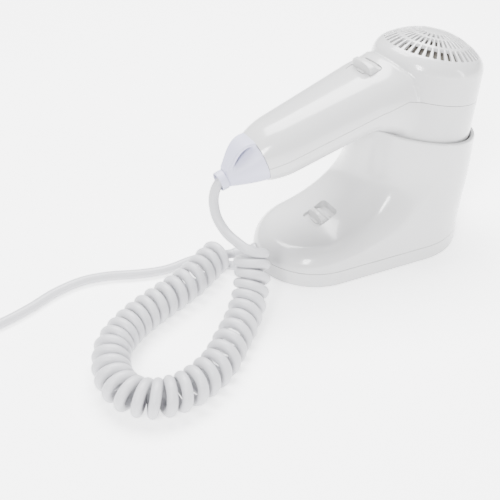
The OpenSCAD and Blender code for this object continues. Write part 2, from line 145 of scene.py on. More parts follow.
def surface_net(field, low, high, h):
    """Closed mesh of field(points) = 0: a vertex for each cell that the surface crosses, moved onto it."""
    low, high = np.array(low, float), np.array(high, float)
    n = np.ceil((high - low) / h).astype(int) + 1
    axes = [low[i] + h * np.arange(n[i]) for i in range(3)]
    inside = np.empty(tuple(n), bool)
    yy, zz = np.meshgrid(axes[1], axes[2], indexing="ij")
    for i, x in enumerate(axes[0]):
        p = np.stack([np.full(yy.size, x), yy.ravel(), zz.ravel()], -1)
        inside[i] = (field(p) < 0).reshape(yy.shape)
    inside[0] = inside[-1] = False
    inside[:, 0] = inside[:, -1] = False
    inside[:, :, 0] = inside[:, :, -1] = False
    corners = [inside[a:n[0] - 1 + a, b:n[1] - 1 + b, c:n[2] - 1 + c]
               for a in (0, 1) for b in (0, 1) for c in (0, 1)]
    count = sum(c.astype(np.int8) for c in corners)
    active = (count > 0) & (count < 8)
    index = np.full(active.shape, -1)
    index[active] = np.arange(active.sum())
    p = low + (np.argwhere(active) + 0.5) * h
    for _ in range(6):
        v, g = field(p), gradient(field, p)
        step = -v[:, None] * g / np.maximum((g * g).sum(1), 1e-6)[:, None]
        size = np.linalg.norm(step, axis=1, keepdims=True)
        p = p + step * np.minimum(1, 0.5 * h / np.maximum(size, 1e-9))
    faces = []
    for axis in range(3):
        b, c = (axis + 1) % 3, (axis + 2) % 3
        first = np.take(inside, range(n[axis] - 1), axis)
        second = np.take(inside, range(1, n[axis]), axis)
        ijk = np.argwhere(first != second)
        ijk = ijk[(ijk[:, b] > 0) & (ijk[:, c] > 0) & (ijk[:, b] < n[b] - 1) & (ijk[:, c] < n[c] - 1)]
        out = first[tuple(ijk.T)]
        quad = []
        for db, dc in ((-1, -1), (0, -1), (0, 0), (-1, 0)):
            k = ijk.copy()
            k[:, b] += db
            k[:, c] += dc
            quad.append(index[tuple(k.T)])
        quad = np.stack(quad, -1)
        quad[~out] = quad[~out][:, ::-1]
        faces.append(quad)
    return p, np.vstack(faces)


def shade_by(ob, fields, angle=35.0, tolerance=0.02):
    """Exact normals where the mesh lies on one of the fields' surfaces, smooth by angle elsewhere."""
    me = ob.data
    me.shade_smooth()
    nv, nl, nf = len(me.vertices), len(me.loops), len(me.polygons)
    co = np.empty(nv * 3)
    me.vertices.foreach_get("co", co)
    co = co.reshape(-1, 3) / MM
    loop_v = np.empty(nl, np.int32)
    me.loops.foreach_get("vertex_index", loop_v)
    fn = np.empty(nf * 3)
    me.polygons.foreach_get("normal", fn)
    fn = fn.reshape(-1, 3)
    total = np.empty(nf, np.int32)
    me.polygons.foreach_get("loop_total", total)
    loop_f = np.repeat(np.arange(nf), total)
    area = np.empty(nf)
    me.polygons.foreach_get("area", area)
    # smooth by angle: average the face normals round a vertex that lie within the angle
    weight = (fn * area[:, None])[loop_f]
    total_v = np.zeros((nv, 3))
    np.add.at(total_v, loop_v, weight)
    mean = total_v / np.maximum(np.linalg.norm(total_v, axis=1, keepdims=True), 1e-20)
    normals = mean[loop_v]
    sharp = (normals * fn[loop_f]).sum(1) < math.cos(math.radians(angle))
    # a vertex with any sharp corner is split: each corner takes the mean of the faces near its own direction
    split = np.zeros(nv, bool)
    split[loop_v[sharp]] = True
    todo = np.nonzero(split[loop_v])[0]
    order = todo[np.argsort(loop_v[todo], kind="stable")]
    starts = np.r_[0, np.nonzero(np.diff(loop_v[order]))[0] + 1, len(order)] if len(order) else [0]
    for a, b in zip(starts[:-1], starts[1:]):
        ids = order[a:b]
        f = fn[loop_f[ids]]
        w = f * area[loop_f[ids]][:, None]
        near = (f @ f.T) > math.cos(math.radians(angle))
        s = near @ w
        normals[ids] = s / np.maximum(np.linalg.norm(s, axis=1, keepdims=True), 1e-20)
    for field in fields:
        v = field(co)
        on = np.abs(v) < tolerance
        g = np.zeros_like(co)
        g[on] = gradient(field, co[on])
        g /= np.maximum(np.linalg.norm(g, axis=1, keepdims=True), 1e-9)
        gl = g[loop_v]
        good = on[loop_v] & ((gl * fn[loop_f]).sum(1) > 0.85)
        normals[good] = gl[good]
    me.normals_split_custom_set(normals.tolist())
    return ob


def field_piece(name, field, matrix, low, high, step, tolerance=0.05):
    """Piece from a distance field in a local frame, with exact normals on its surface."""
    p, f = surface_net(field, low, high, step)
    ob = mesh_object(name, moved(p, matrix), f)
    inverse = np.array(matrix.inverted())
    shade_by(ob, [lambda q: field(moved(q, inverse))], 40, tolerance)
    return ob


# ---------------------------------------------------------------- shapes shared with the solids
CUP_TILT = 11.6
RIM_H = 89.0
HANDLE_SLOPE = 16.8
CAP_AT = (-125.0, 0.0, 91.0)
HEAD = turn_y(CUP_TILT, (0, 0, RIM_H))
HANDLE = turn_y(-HANDLE_SLOPE, CAP_AT)
HEAD_INV = np.array(HEAD.inverted())
HANDLE_INV = np.array(HANDLE.inverted())
WALL = 2.2
# head, in its own frame: side radius at the rim, slope of the side above it and of the barrel below it
HEAD_R = 42.0
HEAD_DRAFT = 0.0883
TAPER = 0.17
# grille dome: its centre and radius, the rounded edge round it, and where the edge passes into the dome
DOME_Z, DOME_R = 7.9, 55.0
EDGE_AT, EDGE_R = (26.3, 41.9), 12.0
EDGE_END = 0.913
# handle: half width and half height at the cap, and their growth for each mm toward the head
HANDLE_W, HANDLE_W_GROWTH = 20.9, 0.083
HANDLE_H, HANDLE_H_GROWTH = 18.9, 0.009
# how much the handle's end draws in at the cap, and over what length
END_TAPER, TAPER_LENGTH = 3.0, 18
# holder: plate height, and the toe's centre and radius
PLATE_H = 11.0
TOE_X, TOE_R = -77.9, 42.4


def smooth01(a, b, x):
    t = np.clip((x - a) / (b - a), 0, 1)
    return t * t * (3 - 2 * t)


def round_max(a, b, r):
    """Intersection of two distances with its edge rounded to radius r."""
    return np.minimum(np.maximum(a, b), -r) + np.sqrt(np.maximum(a + r, 0) ** 2 + np.maximum(b + r, 0) ** 2)


def soft_min(a, b, k):
    """Union of two distances with a fillet over the width k."""
    h = np.maximum(k - np.abs(a - b), 0) / k
    return np.minimum(a, b) - h * h * k / 4


def head_field(p, inset=0.0):
    """Distance to the head: leaning side, rounded edge and dome, from the barrel up."""
    q = moved(p, HEAD_INV)
    r, z = np.hypot(q[:, 0], q[:, 1]), q[:, 2]
    er, ez = EDGE_AT
    side = (r - np.where(z > 0, HEAD_R - HEAD_DRAFT * z, HEAD_R + TAPER * z)) * 0.996
    edge = np.hypot(r - er, z - ez) - EDGE_R
    dome = np.hypot(r, z - DOME_Z) - DOME_R
    angle = np.arctan2(z - ez, r - er)
    d = np.where(z < ez, side, np.where(angle < EDGE_END, edge, dome))
    d = np.where((z >= ez) & (r < er) & (angle > 1.0), dome, d)
    return d + inset


def ellipse_field(y, z, a, b):
    k0 = np.hypot(y / a, z / b)
    k1 = np.hypot(y / (a * a), z / (b * b))
    return k0 * (k0 - 1) / np.maximum(k1, 1e-6)


def plan_field(x, y, xh, rh, xt, rt):
    """Distance to the holder's plan: a circle at the cup and one at the toe, joined by tangents."""
    h = xh - xt
    b = (rh - rt) / h
    a = np.sqrt(1 - b * b)
    px, py = np.abs(y), xh - x
    k = -b * px + a * py
    side = np.where(k > a * h, np.hypot(px, py - h) - rt, px * a + py * b - rh)
    return np.where(k < 0, np.hypot(px, py) - rh, side)


def holder_field(p, w=0.0):
    """Distance to the holder without its rim, w inside its skin."""
    x, y, z = p[:, 0], p[:, 1], p[:, 2]
    g = smooth01(11.0, 62.0, z)
    cx = -7.6 * (1 - g)
    cr = 47.7 + (45.0 - 47.7) * g + smooth01(60, 95, z) - w
    top = z - (24.0 - w + 0.12 * (x + 105))
    body = soft_min(top, np.hypot(x - cx, y) - cr, 40.0)
    wall = plan_field(x, y, cx, cr, TOE_X, TOE_R - w - 0.2 * np.maximum(z - PLATE_H, 0))
    r = 1 + 9 * (1 - smooth01(-40, 0, x))
    return round_max(body, wall, r)


def holder_skin(p):
    """The holder's outside with its rounded rim."""
    q = moved(p, HEAD_INV)
    return round_max(holder_field(p), q[:, 2], 1.7)


def march(field, start, direction, low, high, steps=22):
    """Where rays from start cross the field's surface, by halving."""
    low, high = np.full(len(direction), float(low)), np.full(len(direction), float(high))
    for _ in range(steps):
        mid = (low + high) / 2
        hit = field(start + direction * mid[:, None]) < 0
        low, high = np.where(hit, mid, low), np.where(hit, high, mid)
    return start + direction * ((low + high) / 2)[:, None]


def unit(v):
    return v / np.linalg.norm(v, axis=-1, keepdims=True)


def holder_solid(field, n, levels, w, z0, drop, fine):
    """Closed solid by rays from one point inside: from a level ring up to the rim, then over its top."""
    star = np.array([-38.0, 0.0, 13.0])
    t = np.linspace(0, 2 * math.pi, n, endpoint=False)
    flat = np.stack([np.cos(t), np.sin(t), np.zeros(n)], -1)
    low = march(field, np.array([star[0], 0, z0]), flat, 5, 110)
    c, s = math.cos(math.radians(CUP_TILT)), math.sin(math.radians(CUP_TILT))
    q = np.array([0, 0, RIM_H]) - drop * np.array([s, 0, c])
    lean = np.stack([np.cos(t) * c, np.sin(t), -np.cos(t) * s], -1)
    high = march(lambda p: holder_field(p, w), q, lean, 20, 70)
    rings = [low]
    for u in levels[1:]:
        rings.append(march(field, star, unit(low + (high - low) * u - star), 2, 140))
    for u in fine:
        rings.append(march(field, star, unit(high + (q - high) * u - star), 2, 140))
    return loft(rings)


# ---------------------------------------------------------------- cords: the solids' routes, in metres
HANG = [(-0.1472, 0, 0.0816), (-0.151, 0, 0.08), (-0.1541, 0, 0.0758), (-0.1562, -0.001, 0.0707),
        (-0.1572, -0.003, 0.0655), (-0.1573, -0.0065, 0.0592), (-0.1561, -0.011, 0.054),
        (-0.1546, -0.017, 0.0506), (-0.1528, -0.024, 0.049), (-0.1505, -0.031, 0.0474)]
CURL = [(-0.1444, -0.0289, 0.0403), (-0.1454, -0.0315, 0.036), (-0.147, -0.0356, 0.03), (-0.15, -0.04, 0.024),
        (-0.1546, -0.0455, 0.018), (-0.1615, -0.0525, 0.014), (-0.17, -0.0607, 0.0121),
        (-0.18, -0.07, 0.0121),
        (-0.197, -0.085, 0.0121), (-0.2133, -0.0928, 0.0121), (-0.2264, -0.0955, 0.0121),
        (-0.2415, -0.093, 0.0121), (-0.253, -0.082, 0.0121), (-0.2555, -0.064, 0.0121),
        (-0.248, -0.0436, 0.0121), (-0.2366, -0.032, 0.0121), (-0.222, -0.023, 0.0121),
        (-0.207, -0.0163, 0.0121), (-0.1915, -0.0103, 0.0121), (-0.1745, -0.0024, 0.0121),
        (-0.163, 0.0048, 0.0121), (-0.154, 0.010, 0.0121), (-0.1455, 0.0147, 0.0121)]
TAIL = [(-0.1395, 0.0065, 0.0052), (-0.1362, 0.001, 0.0072), (-0.1322, -0.0028, 0.0084),
        (-0.126, -0.0025, 0.0084), (-0.1193, -0.0022, 0.0084)]
LEAD = [(-0.1189, 0.011, 0.0084), (-0.1266, 0.013, 0.0084), (-0.1344, 0.0151, 0.0084),
        (-0.141, 0.0205, 0.006),
        (-0.148, 0.0262, 0.0039), (-0.156, 0.028, 0.0034), (-0.165, 0.028, 0.0034), (-0.175, 0.0268, 0.0034),
        (-0.185, 0.0272, 0.0034), (-0.2, 0.0313, 0.0034), (-0.22, 0.0393, 0.0034), (-0.238, 0.0424, 0.0034),
        (-0.258, 0.039, 0.0034), (-0.278, 0.031, 0.0034), (-0.299, 0.025, 0.0034), (-0.32, 0.0226, 0.0034),
        (-0.346, 0.0226, 0.0034)]
CORD_D = 0.0066
CURL_R = 8.7
COIL_AT = (-366.0, -14.0)
COIL_RADII = (36.6, 30.0, 23.4)
COIL_LEVELS = (3.4, 9.95)
PLUG_AT = (-384.0, 22.6, 13.0)


def smooth_line(points, step=0.7):
    """Points about step apart on the smooth line through these, drawn as the solids' tubes are."""
    p = np.asarray(points, float)
    n = len(p) - 1
    out = []
    for i in range(n):
        a, b = p[i], p[i + 1]
        ta = (p[i + 1] - p[i - 1] if i else p[1] - p[0]) / 6
        tb = (p[i + 2] - p[i] if i < n - 1 else p[n] - p[n - 1]) / 6
        m = max(2, int(np.linalg.norm(b - a) / step))
        t = (np.arange(m) / m)[:, None]
        out.append(a * (1 - t) ** 3 + 3 * (a + ta) * t * (1 - t) ** 2
                   + 3 * (b - tb) * t * t * (1 - t) + b * t ** 3)
    return np.vstack(out + [p[-1:]])


def walked(line):
    return np.r_[0, np.cumsum(np.linalg.norm(np.diff(line, axis=0), axis=1))]


def even(line, step):
    s = walked(line)
    t = np.linspace(0, s[-1], max(2, int(round(s[-1] / step)) + 1))
    return np.stack([np.interp(t, s, line[:, i]) for i in range(3)], -1)


def eased(line, places, reach, sigma):
    """The line with its joins at these points smoothed over a reach, millimetres."""
    s = walked(line)
    step = s[-1] / (len(s) - 1)
    k = int(3 * sigma / step)
    w = np.exp(-0.5 * (np.arange(-k, k + 1) * step / sigma) ** 2)
    w /= w.sum()
    pad = np.vstack([2 * line[0] - line[k:0:-1], line, 2 * line[-1] - line[-2:-k - 2:-1]])
    soft = np.stack([np.convolve(pad[:, i], w, "valid") for i in range(3)], -1)
    mix = np.zeros(len(line))
    for place in places:
        at = s[np.linalg.norm(line - place, axis=1).argmin()]
        mix = np.maximum(mix, 1 - smooth01(reach * 0.4, reach, np.abs(s - at)))
    return line + (soft - line) * mix[:, None]


def transported(line, first):
    """Tangents and a side vector carried along the line without twist."""
    t = unit(np.gradient(line, axis=0))
    side = np.empty_like(t)
    v = np.asarray(first, float)
    for i, q in enumerate(t):
        v = v - q * (v @ q)
        v /= np.linalg.norm(v)
        side[i] = v
    return t, side


def tube(name, line, radius, sides=16):
    """Closed round tube along a line."""
    t, side = transported(line, (0.31, 0.41, 0.86))
    other = np.cross(t, side)
    a = np.linspace(0, 2 * math.pi, sides, endpoint=False)
    r = np.broadcast_to(np.asarray(radius, float), len(line))[:, None, None]
    cos, sin = np.cos(a)[None, :, None], np.sin(a)[None, :, None]
    rings = line[:, None] + r * (cos * side[:, None] + sin * other[:, None])
    points, faces = loft(rings)
    return mesh_object(name, points, faces)


def helix():
    """The curly stretch: a left-handed winding round its smooth axis, with the pitch given along it."""
    axis = even(smooth_line(np.array(CURL) * 1000, 0.3), 0.25)
    s = walked(axis)
    pitch = np.interp(s, [0, 20, 60, 100, 135, 170, 205, 245, 285, 312],
                      [6.8, 8.2, 10.8, 9.2, 7.4, 8.8, 7.8, 8.8, 9.6, 8.8])
    turns = np.r_[0, np.cumsum(np.diff(s) / ((pitch[1:] + pitch[:-1]) / 2))]
    t, side = transported(axis, (0.876, -0.483, 0))
    # side x t, not t x side, makes the winding left-handed
    across = np.cross(side, t)
    start = math.radians(280)
    down = np.array([0, 0, -1.0])
    end_angle = math.atan2(down @ across[-1], down @ side[-1])
    # whole turns from the pitch, then on to where the winding meets the floor: 35.4 in all
    total = 2 * math.pi * math.floor(turns[-1]) + (end_angle - start) % (2 * math.pi)
    phi = start + total * turns / turns[-1]
    return axis + CURL_R * (np.cos(phi)[:, None] * side + np.sin(phi)[:, None] * across)


def curly_line():
    coil = helix()
    hang = np.array(HANG) * 1000
    tail = np.array(TAIL) * 1000
    line = np.vstack([smooth_line(np.vstack([hang, coil[0]]))[:-1], coil[:-1],
                      smooth_line(np.vstack([coil[-1], tail]))])
    line = even(line, 0.8)
    return eased(line, [hang[-1], coil[0], coil[-1]], 9.0, 2.2)


def stored_line():
    """Lead and its stored winding: three turns in on the floor, three turns out on top."""
    k = np.linspace(0, 6, 6 * 56 + 1)
    lane = np.array([0, 1, 2, 2, 1, 0, 0])
    i = np.minimum(k.astype(int), 5)
    f = smooth01(0.74, 1.0, k - i)
    radii = np.array(COIL_RADII)
    r = radii[lane[i]] * (1 - f) + radii[lane[i + 1]] * f
    low, high = COIL_LEVELS
    z = low + (high - low) * smooth01(2.7, 3.05, k) + (PLUG_AT[2] - high) * smooth01(5.85, 6.0, k) * 0.3
    a = math.pi / 2 + 2 * math.pi * k
    coil = np.stack([COIL_AT[0] + r * np.cos(a), COIL_AT[1] + r * np.sin(a), z], -1)
    lead = np.array(LEAD) * 1000
    end = np.array([PLUG_AT, (PLUG_AT[0] - 10, PLUG_AT[1], PLUG_AT[2])])
    line = np.vstack([smooth_line(np.vstack([lead, coil[0]]))[:-1], coil[:-1],
                      smooth_line(np.vstack([coil[-1], end]))])
    line = even(line, 1.6)
    return eased(line, [coil[0], coil[-1]], 14.0, 4.0)


curl_path = curly_line()
curly = tube("curly_flex", curl_path, CORD_D / MM / 2)
lead_path = stored_line()
lead = tube("lead_flex", lead_path, CORD_D / MM / 2)

# ---------------------------------------------------------------- cutters
def prism(name, outline, y0, y1):
    """Solid with this outline in the x-z plane, from y0 to y1."""
    outline = list(outline)
    area = sum(a[0] * b[1] - b[0] * a[1] for a, b in zip(outline, outline[1:] + outline[:1]))
    if area < 0:
        outline = outline[::-1]
    n = len(outline)
    points = [(x, y0, z) for x, z in outline] + [(x, y1, z) for x, z in outline]
    faces = [tuple(range(n)), tuple(range(2 * n - 1, n - 1, -1))]
    faces += [(i, n + i, n + (i + 1) % n, (i + 1) % n) for i in range(n)]
    return mesh_object(name, points, faces, False)


def drum(name, profile, frame_matrix, n=192):
    points, faces = turned(profile, n)
    return mesh_object(name, moved(points, frame_matrix), faces)


def rod(name, a, b, r, n=48):
    """Closed cylinder between two points."""
    a, b = np.array(a, float), np.array(b, float)
    t = unit(b - a)
    s = unit(np.cross(t, (0.3, 0.2, 0.9)))
    v = np.cross(t, s)
    q = np.linspace(0, 2 * math.pi, n, endpoint=False)
    ring = r * (np.cos(q)[:, None] * s + np.sin(q)[:, None] * v)
    points, faces = loft([a + ring, b + ring])
    return mesh_object(name, points, faces)


def rounded_slab(name, length, width, corner, z0, z1, frame_matrix, n=10):
    """Upright-walled pocket shape with round corners, in a local frame."""
    ring = []
    for cx, cy, a0 in ((1, 1, 0), (-1, 1, 90), (-1, -1, 180), (1, -1, 270)):
        ring += [(cx * (length / 2 - corner) + corner * math.cos(math.radians(a)),
                  cy * (width / 2 - corner) + corner * math.sin(math.radians(a)))
                 for a in np.linspace(a0, a0 + 90, n)]
    ring = np.array(ring)
    rings = [np.c_[ring, np.full(len(ring), z)] for z in (z0, z1)]
    points, faces = loft(rings)
    return mesh_object(name, moved(points, frame_matrix), faces)


# ---------------------------------------------------------------- holder shell
CUP_DEPTH = 40.0
RIM_R = 46.0
HOLD_WALL = 2.6
GLAND_Z = 8.4
GLANDS = (165, 183)
HOLDER_SLIDER = turn_y(-math.degrees(math.atan(0.20)), (-72, 0, 28.6))
HANDSET_SLIDER = HANDLE @ Matrix.Translation((90, 0, 19.5))


def grown_handle(grow, s0, s1, n=160, m=40):
    """The handle's skin, grown, as a cutter: it flares toward the head."""
    a = np.linspace(0, 2 * math.pi, n, endpoint=False)
    rings = []
    for s in np.linspace(s0, s1, m):
        t = min(max((s - 84) / 31, 0), 1)
        w = HANDLE_W + HANDLE_W_GROWTH * s + 3 * t * t + grow
        top = HANDLE_H + HANDLE_H_GROWTH * s + t * t + grow
        low = HANDLE_H + HANDLE_H_GROWTH * s + 3 * t * t + grow
        half = np.where(np.sin(a) > 0, top, low)
        rings.append(np.stack([np.full(n, s), w * np.cos(a), half * np.sin(a)], -1))
    points, faces = loft(rings)
    return moved(points, HANDLE), faces


def gland_cutters(r):
    for deg in GLANDS:
        c, s = math.cos(math.radians(deg)), math.sin(math.radians(deg))
        yield rod("cut", (TOE_X + (TOE_R - 12) * c, (TOE_R - 12) * s, GLAND_Z),
                  (TOE_X + (TOE_R + 10) * c, (TOE_R + 10) * s, GLAND_Z), r)


def make_holder_shell():
    fine = np.r_[np.linspace(0.004, 0.09, 24), 0.14, 0.3, 0.6, 0.9]
    points, faces = holder_solid(holder_skin, 240, np.linspace(0, 1, 90), 0, PLATE_H + 0.15, 3, fine)
    ob = mesh_object("holder_case", points, faces)
    hollow = lambda p: np.maximum(holder_field(p, HOLD_WALL), moved(p, HEAD_INV)[:, 2] + 8)
    points, faces = holder_solid(hollow, 96, np.linspace(0, 1, 30), HOLD_WALL, PLATE_H - 0.5, 8,
                                 [0.3, 0.6, 0.9])
    cavity = mesh_object("cavity", points, faces)
    guard = drum("guard", [(38.2, -CUP_DEPTH - 2.5), (47, 9.5)], HEAD, 128)
    boolean(cavity, guard, "DIFFERENCE")
    boolean(cavity, rounded_slab("floor_block", 22, 26, 4, -3.1, 17, HOLDER_SLIDER), "DIFFERENCE")
    boolean(ob, cavity, "DIFFERENCE")
    inner = RIM_R - 2.9
    bore = [(HEAD_R + 0.8 - TAPER * CUP_DEPTH, -CUP_DEPTH), (HEAD_R + 0.7, -1.9)]
    bore += [(inner + 0.9 - 0.9 * math.cos(q), -0.9 + 0.9 * math.sin(q)) for q in np.linspace(0.0, 1.57, 8)]
    bore += [(inner + 1.0, 8), (inner + 1.0, 40)]
    boolean(ob, drum("bore", bore, HEAD, 192), "DIFFERENCE")
    points, faces = grown_handle(1.2, 60, 118)
    boolean(ob, mesh_object("notch", points, faces), "DIFFERENCE")
    for cutter in gland_cutters(4.3):
        boolean(ob, cutter, "DIFFERENCE")
    boolean(ob, rounded_slab("pocket", 19, 19.6, 3, -1, 20, HOLDER_SLIDER), "DIFFERENCE")
    boolean(ob, rounded_slab("slot", 7.4, 3.2, 1, -14, 2, HOLDER_SLIDER), "DIFFERENCE")
    shade_by(ob, [holder_skin], 32, 0.03)
    return ob


# ---------------------------------------------------------------- handset shells
BARREL = 35.0
GRILLE_R = 34.4
# where the seam changes from the handle's slope to the head's, and the width of its groove
KINK = (-28.0, 119.9)
SEAM_GAP = 0.32


def squared_field(y, z, a, b, n=2.3):
    """Distance to a slightly squared ellipse."""
    u, v = np.abs(y / a) + 1e-6, np.abs(z / b) + 1e-6
    k = (u ** n + v ** n) ** (1 / n)
    slope = k ** (1 - n) * np.hypot(u ** (n - 1) / a, v ** (n - 1) / b)
    return (k - 1) / np.maximum(slope, 1e-3)


def handle_body_field(p, inset=0.0):
    """The handle with its gentle flare and its end inside the head."""
    q = moved(p, HANDLE_INV)
    s, y, z = q[:, 0], q[:, 1], q[:, 2]
    sc = np.clip(s, -12, 140)
    draw = END_TAPER * np.maximum(0, 1 - np.maximum(s, -3) / TAPER_LENGTH) ** 2
    run_out = 0.016 * np.maximum(0, s - 84) ** 2
    side = squared_field(y, z, HANDLE_W + HANDLE_W_GROWTH * sc - draw, HANDLE_H + HANDLE_H_GROWTH * sc - draw)
    return round_max(side + run_out, s - 126, 6.0) + inset


def skin_field(p, inset=0.0):
    """Whole handset skin: the fillet between handle and head fades out under the grille and below the rim."""
    q = moved(p, HEAD_INV)
    r = np.hypot(q[:, 0], q[:, 1])
    k = 1.5 + 20 * smooth01(34.5, 43.0, r) * smooth01(-10, 8, q[:, 2])
    return soft_min(head_field(p, inset), handle_body_field(p, inset), k)


def half_plane_points():
    """Corners of the outlines that part the handset's shells, and the seam's height over x."""
    c, s = math.cos(math.radians(HANDLE_SLOPE)), math.sin(math.radians(HANDLE_SLOPE))
    tc, ts = math.cos(math.radians(CUP_TILT)), math.sin(math.radians(CUP_TILT))
    cap = np.array([CAP_AT[0], CAP_AT[2]])
    up = np.array([-s, c])
    base = np.array([-BARREL * ts, RIM_H - BARREL * tc])
    along = np.array([tc, -ts])
    # seam height at the cap plane
    seam = lambda x: KINK[1] + ((x - KINK[0]) * (s / c) if x < KINK[0] else -(x - KINK[0]) * (ts / tc))
    x = cap[0] - 3.0
    for _ in range(20):
        x = cap[0] - s / c * (seam(x) - cap[1])
    return cap - 62 * up, cap + 62 * up, (x, seam(x)), base + 75 * along, base - 44 * along, seam


def make_handset_shells():
    low_cap, high_cap, seam_cap, base_right, base_left, seam = half_plane_points()
    outer_p, outer_f = surface_net(skin_field, (-140, -46, 40), (56, 46, 158), 1.1)
    inner_p, inner_f = surface_net(lambda p: skin_field(p, WALL), (-146, -44, 34), (54, 44, 156), 1.5)
    void = mesh_object("void", inner_p, inner_f)
    gap = SEAM_GAP / 2
    lower = mesh_object("handset_tray", outer_p, outer_f)
    upper = mesh_object("handset_cover", outer_p, outer_f)
    region = [low_cap, (-50, 40), base_left, base_right, (75, seam(75) - gap), (KINK[0], KINK[1] - gap),
              (seam_cap[0], seam_cap[1] - gap)]
    boolean(lower, prism("region", region, -80, 80), "INTERSECT")
    region = [(seam_cap[0], seam_cap[1] + gap), (KINK[0], KINK[1] + gap), (75, seam(75) + gap), (75, 200),
              (-160, 200), tuple(high_cap)]
    boolean(upper, prism("region", region, -80, 80), "INTERSECT")
    boolean(lower, void, "DIFFERENCE", keep=True)
    boolean(upper, void, "DIFFERENCE")
    hole = drum("hole", [(GRILLE_R - 0.02, 36), (GRILLE_R - 0.02, 80)], HEAD, 192)
    boolean(upper, hole, "DIFFERENCE")
    boolean(upper, rounded_slab("pocket", 16.4, 21.8, 3, -1.4, 12, HANDSET_SLIDER), "DIFFERENCE")
    boolean(upper, rounded_slab("slot", 7.4, 3.2, 1, -12, 2, HANDSET_SLIDER), "DIFFERENCE")
    for ob in (lower, upper):
        shade_by(ob, [skin_field, lambda p: -skin_field(p, WALL)], 30, 0.03)
    return lower, upper


# ---------------------------------------------------------------- intake grille
GRILLE_ROWS = ((40, 24.8, 32.4, 1.3), (40, 15.9, 22.9, 0.75), (24, 9.0, 14.0, 0.65))


def grille_field(q):
    """Dome panel in the head frame, with its rows of slots rounded at the lips."""
    r, z = np.hypot(q[:, 0], q[:, 1]), q[:, 2]
    er, ez = EDGE_AT
    ball = np.hypot(r, z - DOME_Z)
    edge = np.hypot(np.maximum(r - er, 0), z - ez)
    on_edge = (r > er) & (np.arctan2(z - ez, r - er) < EDGE_END)
    depth = np.where(on_edge, edge - EDGE_R, ball - DOME_R)
    skin = np.maximum(depth, -depth - WALL)
    body = np.maximum(skin, r - (GRILLE_R - 0.05))
    a = np.arctan2(q[:, 1], q[:, 0])
    cut = np.full(len(q), 9.0)
    for count, r0, r1, half in GRILLE_ROWS:
        step = 2 * math.pi / count
        off = (a + step / 2) % step - step / 2
        x, y = r * np.cos(off), r * np.sin(off)
        dx = np.abs(x - (r0 + r1) / 2) - ((r1 - r0) / 2 - 0.5)
        dy = np.abs(y) - (half - 0.5)
        box = np.hypot(np.maximum(dx, 0), np.maximum(dy, 0)) + np.minimum(np.maximum(dx, dy), 0) - 0.5
        cut = np.minimum(cut, box)
    return round_max(body, -cut, 0.4)


def make_grille():
    return field_piece("grille_panel", grille_field, HEAD, (-35.2, -35.2, 44), (35.2, 35.2, 64), 0.42)


# ---------------------------------------------------------------- end cap, collar, knobs
CAP_LEN = 24.0
# the cord leaves the cap this far off the handle's axis
CORD_DROP = -2.6
COLLAR = HANDLE @ Matrix.Translation((-CAP_LEN, 0, CORD_DROP)) @ Matrix.Rotation(math.radians(-90), 4, "Y")


def cap_field(q):
    """Cap in the handle frame: a full cone that closes on the collar, and the band bowed over its top."""
    u, y, z = -q[:, 0], q[:, 1], q[:, 2]
    t = np.clip(u / CAP_LEN, 0, 1)
    a = HANDLE_W - END_TAPER + (6.1 - HANDLE_W + END_TAPER) * t ** 1.15
    b = HANDLE_H - END_TAPER + (6.0 - HANDLE_H + END_TAPER) * t ** 0.95
    dz = CORD_DROP * t - 0.6 * np.sin(math.pi * t)
    cone = ellipse_field(y, z - dz, a, b) * 0.86
    cone = round_max(round_max(cone, u - CAP_LEN, 0.8), -u, 0.15)
    inner = ellipse_field(y, z - dz, a * 0.86, b * 0.86) * 0.86
    inner = np.maximum(inner, u - 20)
    body = np.maximum(cone, -inner)
    tube_hole = np.hypot(y, z - CORD_DROP) - 3.35
    body = np.maximum(body, -tube_hole)
    s = np.clip(u / 22.0, 0, 1)
    mid = 14.6 + (3.0 - 14.6) * s + 6.0 * np.sin(math.pi * s) * (1 - 0.25 * s)
    rise = math.pi * np.cos(math.pi * s) * (1 - 0.25 * s) - 0.25 * np.sin(math.pi * s)
    slope = (-11.6 + 6.0 * rise) / 22.0
    across = 8.5 + (5.4 - 8.5) * s
    dn = (z - mid) / np.sqrt(1 + slope * slope)
    band = round_max(np.abs(dn) - 1.25, np.abs(y) - across, 1.1)
    band = round_max(round_max(band, u - 22.6, 0.4), -u, 0.2)
    return soft_min(body, band, 2.2)


def make_end_cap():
    # cut back a little from the handle, so that the seam shows as a groove
    return field_piece("cap_with_loop", lambda q: np.maximum(cap_field(q), q[:, 0] + 0.12), HANDLE,
                       (-26, -23, -24), (1, 23, 24), 0.5)


def make_collar():
    profile = [(3.4, 0.05), (6.0, 0.05), (6.35, 0.4), (6.5, 1.2), (6.46, 4.7)]
    profile += [(6.05 + 0.42 * math.cos(q), 4.95 + 0.45 * math.sin(q)) for q in np.linspace(0, 2.9, 12)]
    profile += [(5.62, 4.6), (5.5, 2.2), (4.9, 1.5), (3.4, 1.2)]
    n = 96
    t = np.linspace(0, 2 * math.pi, n, endpoint=False)
    rings = np.array([np.stack([r * np.cos(t), r * np.sin(t), np.full(n, z)], -1) for r, z in profile])
    points = rings.reshape(-1, 3)
    m = len(profile)
    faces = []
    for i in range(m):
        for j in range(n):
            k, i2 = (j + 1) % n, (i + 1) % m
            faces.append((i * n + j, i * n + k, i2 * n + k, i2 * n + j))
    ob = mesh_object("collar_ring", moved(points, COLLAR), faces)
    shade_by(ob, [], 40)
    return ob


